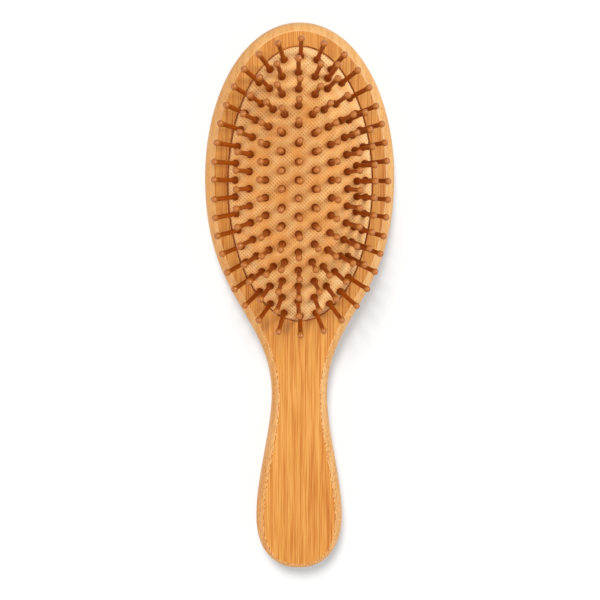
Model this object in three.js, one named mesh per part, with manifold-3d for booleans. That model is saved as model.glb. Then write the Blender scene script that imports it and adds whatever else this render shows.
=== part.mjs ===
// A wooden paddle brush: a laminated bamboo board, an air cushion let into its head and wooden ball
// tipped pins.
// Millimetres, +Z up. The brush lies on its back: +Y runs along it to the crown of the head, Z is 0 at
// the back.
import * as THREE from 'three';
import { ParametricGeometry } from 'three/addons/geometries/ParametricGeometry.js';
import { mergeVertices } from 'three/addons/utils/BufferGeometryUtils.js';
import Module from 'manifold-3d';

const wasm = await Module();
wasm.setup();

// Board, seen from the face
const HEAD_WIDTH = 83.4;
const CROWN_TO_WIDEST = 68.2;
const WIDEST_TO_NECK = 96;
const NECK_WIDTH = 25.2;
const NECK_TO_GRIP = 57.3;
const GRIP_WIDTH = 39.6;
const GRIP_TO_END = 24.5;
const CROWN_ROUNDNESS_SHARE = 2.05;
const END_ROUNDNESS_SHARE = 2.25;
const HEAD_PULL_SHARE = 0.55;
const SHOULDER_PULL_SHARE = 0.38;
const NECK_PULL_SHARE = 0.3;
const GRIP_PULL_SHARE = 0.3;

// Board, seen from the side
const BOARD_THICKNESS = 14;
const HEAD_BAND = 3.9;
const GRIP_BAND = 3.1;
const END_BAND = 2.8;
const BAND_DEPTH = 5.5;
const BACK_ROUND = 3;
const BACK_ROUND_DEPTH = 3.5;

// Recess in the face, with the undercut groove that holds the cushion's rim
const OPENING_WIDTH = 63.6;
const OPENING_LENGTH = 119.4;
const CROWN_TO_PAD_CENTRE = 70;
const RECESS_DEPTH = 9;
const LIP_THICKNESS = 1.6;
const GROOVE_DEPTH = 1.8;
const GROOVE_HEIGHT = 2.6;

// Air cushion
const PAD_GAP = 0.5;
const PAD_CROWN = 8.2;
const PAD_EDGE_DROP = 1;
const PAD_THICKNESS = 1.5;
const RIM_CLEARANCE = 0.3;
const DOME_POWER_SHARE = 3.4;
const DOME_EDGE_SHARE = 0.94;

// Pins
const PIN_REACH = 15.3;
const BALL_DIAMETER = 3;
const SHAFT_DIAMETER = 2;
const COLLAR_DIAMETER = 3.3;
const COLLAR_HEIGHT = 2;
const STEM_DIAMETER = 1.5;
const STEM_CLEARANCE = 0.25;
const HEAD_DIAMETER = 3.2;
const HEAD_THICKNESS = 0.8;
const SEAT_GAP = 0.3;
const HEAD_GAP = 0.6;

// Rows of pins: four closed rings inside each other round one straight line, and a short row inside the
// outer ring
const OUTER_RING_INSET = 3.8;
const RING_PITCH = 6.95;
const PATTERN_SHIFT = 1;
const INNER_ROWS_SHIFT = 0.9;
const RING_COUNTS = [38, 32, 26, 20];
const RING_SQUARENESS_SHARES = [2.1, 2.3, 2.8, 4.8];
const LINE_COUNT = 8;
const LINE_END_GAP = 7.95;
const SIDE_ROW_INSET = 3.75;
const SIDE_ROW_STEPS = [2, 5, 6, 7, 8, 9, 10, 11, 12, 13, 14];
const STRIP_WIDTH = 2;

// Fineness of the faceted solids
const OUTLINE_STEPS = 36;
const OVAL_STEPS = 32;
const DOME_ROW_SHARES = [0, 0.45, 0.68, 0.84, 0.94, 1];
const INSIDE_ROW_SHARES = [0, 0.42, 0.64, 0.8, 0.92, 1];
const PIN_SIDES = 5;
const HOLE_SIDES = 4;
const CUT_OVERRUN = 5;

const BOARD_LENGTH = CROWN_TO_WIDEST + WIDEST_TO_NECK + NECK_TO_GRIP + GRIP_TO_END;
const CROWN_Y = BOARD_LENGTH / 2;
const WIDEST_Y = CROWN_Y - CROWN_TO_WIDEST;
const NECK_Y = WIDEST_Y - WIDEST_TO_NECK;
const GRIP_Y = NECK_Y - NECK_TO_GRIP;
const PAD_CENTRE_Y = CROWN_Y - CROWN_TO_PAD_CENTRE;
const PATTERN_CENTRE_Y = PAD_CENTRE_Y - PATTERN_SHIFT;
const OPENING_HALF = new THREE.Vector2(OPENING_WIDTH / 2, OPENING_LENGTH / 2);
const PAD_HALF = OPENING_HALF.clone().subScalar(PAD_GAP);
const PAD_EDGE_Z = BOARD_THICKNESS - PAD_EDGE_DROP;
const GROOVE_TOP_Z = BOARD_THICKNESS - LIP_THICKNESS;
const GROOVE_FLOOR_Z = GROOVE_TOP_Z - GROOVE_HEIGHT;

const bamboo = new THREE.MeshStandardMaterial({ color: 0xe59c54, roughness: 0.5, metalness: 0 });
const cushionCloth = new THREE.MeshStandardMaterial({ color: 0xf2c894, roughness: 0.9, metalness: 0 });
const pinWood = new THREE.MeshStandardMaterial({ color: 0xa0521f, roughness: 0.35, metalness: 0 });

// A superellipse, run from its +Y end through its +X side, in one turn or a part of one
class Oval extends THREE.Curve {
  constructor(halfX, halfY, roundness, centreY, turns = 1, startTurn = 0) {
    super();
    Object.assign(this, { halfX, halfY, roundness, centreY, turns, startTurn });
  }

  getPoint(t, target = new THREE.Vector3()) {
    const angle = (this.startTurn + t * this.turns) * 2 * Math.PI;
    const bend = (value) => Math.sign(value) * Math.abs(value) ** (2 / this.roundness);
    const x = this.halfX * bend(Math.sin(angle));
    const y = this.centreY + this.halfY * bend(Math.cos(angle));
    return target.set(x, y, 0);
  }
}

// Closed solid from a position only mesh whose rows may shrink to a point or to a line
function closedGeometry(source) {
  const bare = source.index ? source.toNonIndexed() : source.clone();
  bare.deleteAttribute('normal');
  bare.deleteAttribute('uv');
  const merged = mergeVertices(bare);
  const kept = [];
  for (let i = 0; i < merged.index.count; i += 3) {
    const [a, b, c] = [0, 1, 2].map((corner) => merged.index.getX(i + corner));
    if (a !== b && b !== c && c !== a) kept.push(a, b, c);
  }
  merged.setIndex(kept);
  return merged;
}

function toSolid(geometry) {
  const closed = closedGeometry(geometry);
  const vertProperties = new Float32Array(closed.attributes.position.array);
  const triVerts = new Uint32Array(closed.index.array);
  return new wasm.Manifold(new wasm.Mesh({ numProp: 3, vertProperties, triVerts }));
}

function toGeometry(solid) {
  const mesh = solid.getMesh();
  const geometry = new THREE.BufferGeometry();
  geometry.setAttribute('position', new THREE.BufferAttribute(mesh.vertProperties, 3));
  geometry.setIndex(new THREE.BufferAttribute(mesh.triVerts, 1));
  geometry.computeVertexNormals();
  return geometry;
}

// Skin over rows of points that run clockwise seen from above, lowest row first; the end rows shut the ends
function skinned(rows) {
  const across = rows[0].length;
  const last = rows.length - 1;
  const place = (u, v, target) => target.copy(rows[Math.round((1 - v) * last)][Math.round(u * across) % across]);
  return closedGeometry(new ParametricGeometry(place, across, last));
}

function ovalRow(halfX, halfY, z) {
  const oval = new Oval(halfX, halfY, 2, PAD_CENTRE_Y);
  const row = [];
  for (let i = 0; i < OVAL_STEPS; i += 1) row.push(oval.getPoint(i / OVAL_STEPS).setZ(z));
  return row;
}

// Board

// Right half of the outline, from the crown to the end of the grip
function halfOutline() {
  const bezier = (from, fromPull, to, toPull) => new THREE.CubicBezierCurve3(
    from,
    from.clone().setY(from.y - fromPull),
    to.clone().setY(to.y + toPull),
    to,
  );
  const widest = new THREE.Vector3(HEAD_WIDTH / 2, WIDEST_Y, 0);
  const neck = new THREE.Vector3(NECK_WIDTH / 2, NECK_Y, 0);
  const grip = new THREE.Vector3(GRIP_WIDTH / 2, GRIP_Y, 0);
  const path = new THREE.CurvePath();
  path.add(new Oval(HEAD_WIDTH / 2, CROWN_TO_WIDEST, CROWN_ROUNDNESS_SHARE, WIDEST_Y, 0.25));
  path.add(bezier(widest, WIDEST_TO_NECK * HEAD_PULL_SHARE, neck, WIDEST_TO_NECK * SHOULDER_PULL_SHARE));
  path.add(bezier(neck, NECK_TO_GRIP * NECK_PULL_SHARE, grip, NECK_TO_GRIP * GRIP_PULL_SHARE));
  path.add(new Oval(GRIP_WIDTH / 2, GRIP_TO_END, END_ROUNDNESS_SHARE, GRIP_Y, 0.25, 0.25));
  return path.getSpacedPoints(OUTLINE_STEPS);
}

// Width of the rounded band between the flat face and the side, which narrows down the handle
function bandWidth(y) {
  const downHandle = THREE.MathUtils.smoothstep(-y, -WIDEST_Y, -NECK_Y);
  const toEnd = THREE.MathUtils.smoothstep(-y, -GRIP_Y, CROWN_Y);
  return THREE.MathUtils.lerp(THREE.MathUtils.lerp(HEAD_BAND, GRIP_BAND, downHandle), END_BAND, toEnd);
}

function boardSolid() {
  const right = halfOutline();
  const left = right.slice(1, -1).reverse().map((point) => point.clone().setX(-point.x));
  const outline = [...right, ...left];
  const inward = outline.map((point, i) => {
    const before = outline.at(i - 1);
    const after = outline[(i + 1) % outline.length];
    return new THREE.Vector3(after.y - before.y, before.x - after.x, 0).normalize();
  });
  const row = (z, insetAt) => outline.map((point, i) => {
    const moved = point.clone().addScaledVector(inward[i], insetAt(point.y)).setZ(z);
    return i % OUTLINE_STEPS === 0 ? moved.setX(0) : moved;
  });
  const spine = (edge) => edge.map((point) => point.clone().setX(0));
  const bandShares = [[0, 1], [0.2, 0.55], [0.55, 0.22], [1, 0]];
  const backShares = [[1, 0], [0.3, 0.3], [0, 1]];
  const back = backShares.map(([inset, rise]) => row(rise * BACK_ROUND_DEPTH, () => inset * BACK_ROUND));
  const face = bandShares.map(([inset, drop]) => row(
    BOARD_THICKNESS - drop * BAND_DEPTH,
    (y) => inset * bandWidth(y),
  ));
  return toSolid(skinned([spine(back[0]), ...back, ...face, spine(face.at(-1))]));
}

function recessSolid() {
  const grown = (by, z) => ovalRow(OPENING_HALF.x + by, OPENING_HALF.y + by, z);
  const floorZ = BOARD_THICKNESS - RECESS_DEPTH;
  const topZ = BOARD_THICKNESS + CUT_OVERRUN;
  return toSolid(skinned([
    ovalRow(0, 0, floorZ),
    grown(0, floorZ),
    grown(0, GROOVE_FLOOR_Z),
    grown(GROOVE_DEPTH, GROOVE_FLOOR_Z),
    grown(GROOVE_DEPTH, GROOVE_TOP_Z),
    grown(0, GROOVE_TOP_Z),
    grown(0, topZ),
    ovalRow(0, 0, topZ),
  ]));
}

// Cushion

// Height of the cushion's outer face and its normal over a point of the board
function domeAt(x, y) {
  const dx = x / PAD_HALF.x;
  const dy = (y - PAD_CENTRE_Y) / PAD_HALF.y;
  const share = Math.hypot(dx, dy);
  const left = 1 - share ** DOME_POWER_SHARE;
  const height = PAD_CROWN * left ** DOME_EDGE_SHARE;
  const fall = height * DOME_EDGE_SHARE * DOME_POWER_SHARE * share ** (DOME_POWER_SHARE - 2) / left;
  const normal = new THREE.Vector3(fall * dx / PAD_HALF.x, fall * dy / PAD_HALF.y, 1).normalize();
  return { point: new THREE.Vector3(x, y, PAD_EDGE_Z + height), normal };
}

function domeRows(half, edgeZ, crown, rowShares) {
  return rowShares.map((share) => {
    const height = crown * (1 - share ** DOME_POWER_SHARE) ** DOME_EDGE_SHARE;
    return ovalRow(half.x * share, half.y * share, edgeZ + height);
  });
}

function cushionSolid(pins) {
  const inner = PAD_HALF.clone().subScalar(PAD_THICKNESS);
  const beadReach = GROOVE_DEPTH - RIM_CLEARANCE;
  const beadTopZ = GROOVE_TOP_Z - RIM_CLEARANCE;
  const beadFloorZ = GROOVE_FLOOR_Z + RIM_CLEARANCE;
  const innerEdgeZ = PAD_EDGE_Z - PAD_THICKNESS / 2;
  const outside = domeRows(PAD_HALF, PAD_EDGE_Z, PAD_CROWN, DOME_ROW_SHARES);
  const inside = domeRows(inner, innerEdgeZ, PAD_CROWN - PAD_THICKNESS / 2, INSIDE_ROW_SHARES);
  const bead = [
    ovalRow(PAD_HALF.x, PAD_HALF.y, beadTopZ),
    ovalRow(OPENING_HALF.x + beadReach, OPENING_HALF.y + beadReach, beadTopZ),
    ovalRow(OPENING_HALF.x + beadReach, OPENING_HALF.y + beadReach, beadFloorZ),
    ovalRow(inner.x, inner.y, beadFloorZ),
  ];
  let solid = toSolid(skinned([...outside, ...bead, ...inside.reverse()].reverse()));
  const holeRadius = (STEM_DIAMETER / 2 + STEM_CLEARANCE) / Math.cos(Math.PI / HOLE_SIDES);
  const drill = new THREE.CylinderGeometry(holeRadius, holeRadius, 2 * CUT_OVERRUN, HOLE_SIDES);
  drill.rotateX(Math.PI / 2);
  for (const pin of pins) solid = solid.subtract(toSolid(drill.clone().applyMatrix4(pin)));
  return solid;
}

// Pins

// A pin stands on the dome along its normal, with the outer face of the cloth at its zero
function pinMatrix(x, y) {
  const { point, normal } = domeAt(x, y);
  const turn = new THREE.Quaternion().setFromUnitVectors(new THREE.Vector3(0, 0, 1), normal);
  return new THREE.Matrix4().compose(point, turn, new THREE.Vector3(1, 1, 1));
}

// Turned profile from the foot that is behind the rubber to the top of the ball
function pinGeometry(footless) {
  const ball = BALL_DIAMETER / 2;
  const ballFootShare = 0.75;
  const headTop = -PAD_THICKNESS - HEAD_GAP;
  const foot = footless
    ? [[0, headTop - HEAD_THICKNESS / 2], [STEM_DIAMETER / 2, headTop - HEAD_THICKNESS / 2]]
    : [[0, headTop - HEAD_THICKNESS], [HEAD_DIAMETER / 2, headTop - HEAD_THICKNESS], [STEM_DIAMETER / 2, headTop]];
  const profile = [
    ...foot,
    [STEM_DIAMETER / 2, SEAT_GAP],
    [COLLAR_DIAMETER / 2, SEAT_GAP],
    [SHAFT_DIAMETER / 2, COLLAR_HEIGHT],
    [SHAFT_DIAMETER / 2, PIN_REACH - ball * ballFootShare],
    [ball, PIN_REACH],
    [0, PIN_REACH + ball],
  ];
  const points = profile.map(([radius, height]) => new THREE.Vector2(radius, height));
  return closedGeometry(new THREE.LatheGeometry(points, PIN_SIDES).rotateX(Math.PI / 2));
}

// Strip behind the rubber that the pins of one row stand on, jointed under each pin and midway between pins
function stripSolid(places, isClosed) {
  const topDepth = PAD_THICKNESS + HEAD_GAP;
  const beyond = (end, next) => new THREE.Vector3().lerpVectors(end, next, -0.5);
  const joints = places.flatMap((place, i) => [places.at(i - 1).clone().lerp(place, 0.5), place]);
  if (!isClosed) {
    joints[0] = beyond(places[0], places[1]);
    joints.push(beyond(places.at(-1), places.at(-2)));
  }
  const count = joints.length;
  const rows = joints.map((joint, i) => {
    const before = joints[isClosed ? (i + count - 1) % count : Math.max(i - 1, 0)];
    const after = joints[isClosed ? (i + 1) % count : Math.min(i + 1, count - 1)];
    const { point, normal } = domeAt(joint.x, joint.y);
    const along = new THREE.Vector3().subVectors(after, before).setZ(0);
    const side = new THREE.Vector3().crossVectors(normal, along).normalize();
    const corner = (across, depth) => point.clone()
      .addScaledVector(side, across * STRIP_WIDTH / 2)
      .addScaledVector(normal, -topDepth - depth * HEAD_THICKNESS);
    return [corner(-1, 0), corner(1, 0), corner(1, 1), corner(-1, 1)];
  });
  if (isClosed) return toSolid(skinned([...rows, rows[0]]));
  const tip = (row) => row.map(() => new THREE.Vector3().lerpVectors(row[0], row[2], 0.5));
  return toSolid(skinned([tip(rows[0]), ...rows, tip(rows.at(-1))]));
}

function joinedRow(places, strip) {
  const pin = pinGeometry(true);
  let solid = strip;
  for (const place of places) {
    solid = solid.add(toSolid(pin.clone().applyMatrix4(pinMatrix(place.x, place.y))));
  }
  return toGeometry(solid);
}

function ringOval(ring, inset) {
  const half = OPENING_HALF.clone().subScalar(OUTER_RING_INSET + ring * RING_PITCH + inset);
  return new Oval(half.x, half.y, RING_SQUARENESS_SHARES[ring], PATTERN_CENTRE_Y);
}

// Places of a ring's pins. The rings inside the outer one stand a little to the left.
function ringPlaces(ring, inset) {
  const places = ringOval(ring, inset).getSpacedPoints(RING_COUNTS[ring]).slice(0, -1);
  const shift = ring === 0 ? 0 : INNER_ROWS_SHIFT;
  return places.map((place) => place.setX(place.x - shift));
}

function linePlaces() {
  const half = ringOval(RING_COUNTS.length - 1, 0).halfY - LINE_END_GAP;
  const pitch = 2 * half / (LINE_COUNT - 1);
  const places = [];
  for (let i = 0; i < LINE_COUNT; i += 1) {
    places.push(new THREE.Vector3(-INNER_ROWS_SHIFT, PATTERN_CENTRE_Y + half - i * pitch, 0));
  }
  return places;
}

// Assembly

const brush = new THREE.Group();

function addPiece(name, geometry, material) {
  const mesh = new THREE.Mesh(geometry, material.clone());
  mesh.name = name;
  brush.add(mesh);
  return mesh;
}

function addPins(name, places) {
  const geometry = pinGeometry(false);
  places.forEach((place, i) => {
    const pin = addPiece(`${name}_${String(i + 1).padStart(2, '0')}`, geometry, pinWood);
    pinMatrix(place.x, place.y).decompose(pin.position, pin.quaternion, pin.scale);
  });
}

const [outerRing, thirdRing, secondRing, innerRing] = RING_COUNTS.map((count, ring) => ringPlaces(ring, 0));
const besideOuterRing = ringPlaces(0, SIDE_ROW_INSET);
const sideRow = SIDE_ROW_STEPS.map((step) => besideOuterRing[step]);
const sideRun = besideOuterRing.slice(SIDE_ROW_STEPS[0], SIDE_ROW_STEPS.at(-1) + 1);
const everyPin = [outerRing, thirdRing, secondRing, innerRing, sideRow, linePlaces()].flat();

addPiece('paddle_body', toGeometry(boardSolid().subtract(recessSolid())), bamboo);
addPiece(
  'cushion_pad',
  toGeometry(cushionSolid(everyPin.map((place) => pinMatrix(place.x, place.y)))),
  cushionCloth,
);
addPins('centre_line_pin', linePlaces());
addPins('inner_ring_pin', innerRing);
addPins('second_ring_pin', secondRing);
addPiece('third_ring_pins', joinedRow(thirdRing, stripSolid(thirdRing, true)), pinWood);
addPiece('outer_ring_pins', joinedRow(outerRing, stripSolid(outerRing, true)), pinWood);
addPiece('side_row_pins', joinedRow(sideRow, stripSolid(sideRun, false)), pinWood);

export default brush;
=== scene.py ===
"""Looks of a wooden paddle brush: bamboo board, cloth faced air cushion and turned wooden pins.

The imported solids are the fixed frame, and each piece made here stands for the solids at its place.
Lengths are metres. +Z is up, and the brush lies on its back with the crown of its head towards +Y.
"""
import logging
import math
from dataclasses import dataclass
from enum import Enum
from typing import Any, Callable, Iterable, Mapping, Optional, Sequence, Union

import bmesh
import bpy
import numpy as np
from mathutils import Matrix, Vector


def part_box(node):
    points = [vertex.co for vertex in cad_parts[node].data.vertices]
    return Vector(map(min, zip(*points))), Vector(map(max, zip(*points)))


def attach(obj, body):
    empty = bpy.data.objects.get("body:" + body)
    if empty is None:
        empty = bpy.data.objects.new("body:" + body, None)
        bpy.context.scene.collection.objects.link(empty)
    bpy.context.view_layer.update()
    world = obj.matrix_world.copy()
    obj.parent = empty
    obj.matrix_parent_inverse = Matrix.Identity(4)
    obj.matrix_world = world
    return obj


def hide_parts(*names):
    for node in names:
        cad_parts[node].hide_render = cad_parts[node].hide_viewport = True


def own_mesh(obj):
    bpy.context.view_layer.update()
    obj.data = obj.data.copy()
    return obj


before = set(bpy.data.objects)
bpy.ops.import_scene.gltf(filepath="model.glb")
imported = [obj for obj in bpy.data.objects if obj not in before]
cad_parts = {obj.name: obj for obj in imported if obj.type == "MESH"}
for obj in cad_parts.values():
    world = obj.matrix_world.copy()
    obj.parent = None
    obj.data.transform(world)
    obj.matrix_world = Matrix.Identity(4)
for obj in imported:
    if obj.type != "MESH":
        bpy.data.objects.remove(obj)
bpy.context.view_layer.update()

LOG = logging.getLogger("paddle_brush")

MM = 0.001
PHOTO_SIDE = 600
SENSOR_WIDTH = 36.0
CURVE_STEPS = 400
PAD_GAP = 0.5 * MM
BEAD_REACH = 1.5 * MM
BEAD_FLOOR_DROP = 2.9 * MM
CLOTH_SETTINGS = {
    "quality": 6,
    "mass": 0.05,
    "tension_stiffness": 6,
    "compression_stiffness": 6,
    "shear_stiffness": 3,
    "bending_stiffness": 0.2,
    "use_pressure": True,
    "uniform_pressure_force": 36,
}

Piece = bpy.types.Object
Mesh = bpy.types.Mesh
Material = bpy.types.Material
Shape = bmesh.types.BMesh
Points = list[Vector]
Pair = tuple[float, float]
Sizes = tuple[float, float, float]
Colour = tuple[float, float, float, float]


# Node trees written as Python expressions


def operator(operation: str, is_swapped: bool = False) -> Callable[["Socket", "Operand"], "Socket"]:
    """Makes a method of Socket that adds a Math node.

    Args:
        operation: The node's operation.
        is_swapped: Whether the other operand comes first.

    Returns:
        The method.
    """

    def method(self: "Socket", other: "Operand") -> "Socket":
        """The node's result."""
        return self.tree.math(operation, *((other, self) if is_swapped else (self, other)))

    return method


class Socket:
    """A node socket that takes part in Python expressions."""

    def __init__(self, tree: "Tree", raw: bpy.types.NodeSocket) -> None:
        """Wraps one socket of a tree."""
        self.tree = tree
        self.raw = raw

    __add__ = operator("ADD")
    __radd__ = operator("ADD", True)
    __sub__ = operator("SUBTRACT")
    __rsub__ = operator("SUBTRACT", True)
    __mul__ = operator("MULTIPLY")
    __truediv__ = operator("DIVIDE")
    __rtruediv__ = operator("DIVIDE", True)
    __pow__ = operator("POWER")


Operand = Union[Socket, float, int, Sizes]
Key = Union[int, str]
Settings = Optional[Mapping[str, Any]]
Inputs = Optional[Mapping[Key, Any]]


class Tree:
    """Adds nodes to a shader or geometry tree."""

    def __init__(self, raw: bpy.types.NodeTree) -> None:
        """Wraps a node tree."""
        self.raw = raw

    def node(self, kind: str, settings: Settings = None, inputs: Inputs = None) -> bpy.types.Node:
        """Adds one node.

        Args:
            kind: The node's type.
            settings: The node's properties, set first.
            inputs: Socket names or numbers, with the value or link of each, or a list of links.

        Returns:
            The new node.
        """
        made = self.raw.nodes.new(kind)
        for name, value in (settings or {}).items():
            setattr(made, name, value)
        for key, value in (inputs or {}).items():
            socket = self._pick(made.inputs, key)
            for one in value if isinstance(value, list) else [value]:
                if isinstance(one, Socket):
                    self.raw.links.new(one.raw, socket)
                else:
                    socket.default_value = one
        return made

    def out(self, kind: str, settings: Settings = None, inputs: Inputs = None, output: Key = 0) -> Socket:
        """Adds one node and gives one of its outputs, the first if none is named."""
        return Socket(self, self._pick(self.node(kind, settings, inputs).outputs, output))

    def math(self, operation: str, *operands: Operand) -> Socket:
        """Adds a Math node, or a Vector Math node if an operand is a vector.

        Args:
            operation: The node's operation.
            operands: Sockets, numbers and triples of numbers, in the node's order.

        Returns:
            The result.
        """
        is_vector = any(isinstance(one, Socket) and one.raw.type == "VECTOR" for one in operands)
        if not is_vector:
            return self.out("ShaderNodeMath", {"operation": operation}, dict(enumerate(operands)))
        spread = [one if isinstance(one, (Socket, tuple)) else (one,) * 3 for one in operands]
        return self.out("ShaderNodeVectorMath", {"operation": operation}, dict(enumerate(spread)))

    def vector(self, x: Operand, y: Operand, z: Operand) -> Socket:
        """A vector from three values."""
        return self.out("ShaderNodeCombineXYZ", inputs={0: x, 1: y, 2: z})

    def parts(self, vector: Socket) -> tuple[Socket, Socket, Socket]:
        """The three values of a vector."""
        made = self.node("ShaderNodeSeparateXYZ", inputs={0: vector})
        return tuple(Socket(self, output) for output in made.outputs)

    def ramp(self, value: Operand, low: float, high: float) -> Socket:
        """Smooth rise from 0 to 1, or a fall where low is the greater.

        Args:
            value: What it follows.
            low: Where a rise starts.
            high: Where a rise ends.

        Returns:
            The share, from 0 to 1.
        """
        if low > high:
            return 1 - self.ramp(value, high, low)
        settings = {"interpolation_type": "SMOOTHSTEP", "clamp": True}
        return self.out("ShaderNodeMapRange", settings, {"Value": value, "From Min": low, "From Max": high})

    def seen(self) -> Socket:
        """1 for what the camera or a glossy surface sees, else 0."""
        path = self.node("ShaderNodeLightPath").outputs
        return self.math("MAXIMUM", Socket(self, path["Is Camera Ray"]), Socket(self, path["Is Glossy Ray"]))

    @staticmethod
    def _pick(sockets: Iterable[bpy.types.NodeSocket], key: Key) -> bpy.types.NodeSocket:
        """The socket in use that has that name or number."""
        in_use = [socket for socket in sockets if socket.enabled]
        return in_use[key] if isinstance(key, int) else next(one for one in in_use if one.name == key)


class SurfaceTree(Tree):
    """Nodes of one material."""

    def __init__(self, name: str) -> None:
        """Starts a material without nodes.

        Args:
            name: The material's name.
        """
        self.material = bpy.data.materials.new(name)
        self.material.use_nodes = True
        super().__init__(self.material.node_tree)
        self.raw.nodes.clear()

    def place(self) -> Socket:
        """The place on the piece, in metres."""
        return self.out("ShaderNodeTexCoord", output="Object")

    def attribute(self, name: str, output: str = "Fac") -> Socket:
        """A value kept on the piece's mesh."""
        return self.out("ShaderNodeAttribute", {"attribute_name": name}, output=output)

    def noise(self, place: Socket, size: float, detail: float = 2.0, roughness: float = 0.5) -> Socket:
        """Soft noise about 0.5 with features of that size."""
        inputs = {"Vector": place, "Scale": 1 / size, "Detail": detail, "Roughness": roughness}
        return self.out("ShaderNodeTexNoise", {"normalize": True}, inputs)

    def grain(self, place: Socket, sizes: Sizes, detail: float = 1.0, roughness: float = 0.5) -> Socket:
        """The same noise with a size of its own across, along and up."""
        return self.noise(place * tuple(1 / size for size in sizes), 1.0, detail, roughness)

    def blend(self, factor: Operand, first: Any, second: Any) -> Socket:
        """Mixes two colours."""
        settings = {"data_type": "RGBA", "clamp_factor": True}
        return self.out("ShaderNodeMix", settings, {"Factor": factor, "A": first, "B": second})

    def bump(self, height: Socket, depth: float, strength: float) -> Socket:
        """A normal that follows a height of that depth in metres."""
        return self.out("ShaderNodeBump", inputs={"Height": height, "Distance": depth, "Strength": strength})

    def close(self, surface: Socket) -> Material:
        """Ends the material with a surface."""
        self.node("ShaderNodeOutputMaterial", inputs={"Surface": surface})
        return self.material

    def finish(self, inputs: Mapping[str, Any]) -> Material:
        """Ends the material with a Principled surface of these inputs."""
        return self.close(self.out("ShaderNodeBsdfPrincipled", inputs=inputs))


class Recipe(Tree):
    """A Geometry Nodes tree with named inputs, which makes one plain mesh."""

    KINDS = {
        int: "NodeSocketInt",
        float: "NodeSocketFloat",
        Piece: "NodeSocketObject",
        Material: "NodeSocketMaterial",
    }

    def __init__(self, name: str) -> None:
        """Starts a tree with its input and output nodes.

        Args:
            name: The tree's name.
        """
        super().__init__(bpy.data.node_groups.new(name, "GeometryNodeTree"))
        self.entry = self.raw.nodes.new("NodeGroupInput")
        self.exit = self.raw.nodes.new("NodeGroupOutput")
        self.raw.interface.new_socket("Geometry", in_out="OUTPUT", socket_type="NodeSocketGeometry")
        self.values: dict[str, Any] = {}

    def take(self, name: str, value: Any) -> Socket:
        """Adds a named input.

        Args:
            name: The input's name.
            value: What the modifier sets it to, a number, an object or a material.

        Returns:
            The input's socket inside the tree.
        """
        made = self.raw.interface.new_socket(name, in_out="INPUT", socket_type=self.KINDS[type(value)])
        self.values[made.identifier] = value
        return Socket(self, self.entry.outputs[name])

    def place(self) -> tuple[Socket, Socket, Socket]:
        """The three values of each point's place."""
        return self.parts(self.out("GeometryNodeInputPosition"))

    def move(self, geometry: Socket, **places: Socket) -> Socket:
        """Puts the points at a Position, or shifts them by an Offset."""
        return self.out("GeometryNodeSetPosition", inputs={"Geometry": geometry, **places})

    def store(self, geometry: Socket, name: str, kind: str, value: Socket) -> Socket:
        """Keeps a value on each point."""
        inputs = {"Geometry": geometry, "Name": name, "Value": value}
        return self.out("GeometryNodeStoreNamedAttribute", {"data_type": kind, "domain": "POINT"}, inputs)

    def shape_of(self, piece: Piece) -> Socket:
        """The shape of another piece, which is a named input."""
        inputs = {"Object": self.take(piece.name, piece)}
        return self.out("GeometryNodeObjectInfo", {"transform_space": "ORIGINAL"}, inputs, "Geometry")

    def bake(self, name: str, geometry: Socket, material: Material) -> Piece:
        """Runs the tree once.

        Args:
            name: The new piece's name.
            geometry: What the tree gives.
            material: The piece's finish.

        Returns:
            A piece with a plain mesh and no modifier.
        """
        made = self.out("GeometryNodeRealizeInstances", inputs={"Geometry": geometry})
        dressing = {"Geometry": made, "Material": self.take("Finish", material)}
        made = self.out("GeometryNodeSetMaterial", inputs=dressing)
        self.raw.links.new(made.raw, self.exit.inputs[0])
        piece = placed(name, bpy.data.meshes.new(name))
        modifier = piece.modifiers.new(self.raw.name, "NODES")
        modifier.node_group = self.raw
        for identifier, value in self.values.items():
            modifier[identifier] = value
        return settle(piece)


# Meshes


def placed(name: str, data: Any) -> Piece:
    """Puts an object into the scene at the origin.

    Args:
        name: Its name.
        data: Its mesh, light or camera.

    Returns:
        The object.
    """
    made = bpy.data.objects.new(name, data)
    bpy.context.scene.collection.objects.link(made)
    return made


def settle(piece: Piece) -> Piece:
    """Turns a piece's modifiers into its plain mesh.

    Args:
        piece: The piece, which loses its modifiers.

    Returns:
        The same piece.
    """
    graph = bpy.context.evaluated_depsgraph_get()
    made = piece.evaluated_get(graph)
    mesh = bpy.data.meshes.new_from_object(made, preserve_all_data_layers=True, depsgraph=graph)
    piece.modifiers.clear()
    piece.data = mesh
    mesh.name = piece.name
    return piece


def coordinates(mesh: Mesh) -> np.ndarray:
    """The mesh's points as rows."""
    return np.array([point.co for point in mesh.vertices])


def set_coordinates(mesh: Mesh, points: np.ndarray) -> None:
    """Moves the mesh's points."""
    mesh.vertices.foreach_set("co", points.astype(np.float32).ravel())
    mesh.update()


def pin_gaps(mesh: Mesh) -> np.ndarray:
    """The gap from each of the mesh's points to the nearest pin."""
    return np.array([point.value for point in mesh.attributes["pin_gap"].data])


def strip_of_faces(shape: Shape, lower: list, upper: list) -> list[bmesh.types.BMFace]:
    """Joins two closed rows of points.

    Args:
        shape: What takes the faces.
        lower: One row, or a single point.
        upper: The other row, or a single point.

    Returns:
        The faces.
    """
    faces = []
    around = ((lower, 0), (lower, 1), (upper, 1), (upper, 0))
    for i in range(max(len(lower), len(upper))):
        corners = [row[(i + step) % len(row)] for row, step in around]
        faces.append(shape.faces.new(list(dict.fromkeys(corners))))
    return faces


def loft(shape: Shape, rows: Iterable[Points]) -> tuple[list, list]:
    """Adds closed rows of points and joins each to the next.

    Args:
        shape: What takes the rows.
        rows: The rows in order. A row of one point is a tip.

    Returns:
        The rows' new points, and the faces of each strip.
    """
    made = [[shape.verts.new(point) for point in row] for row in rows]
    return made, [strip_of_faces(shape, lower, upper) for lower, upper in zip(made, made[1:])]


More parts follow.
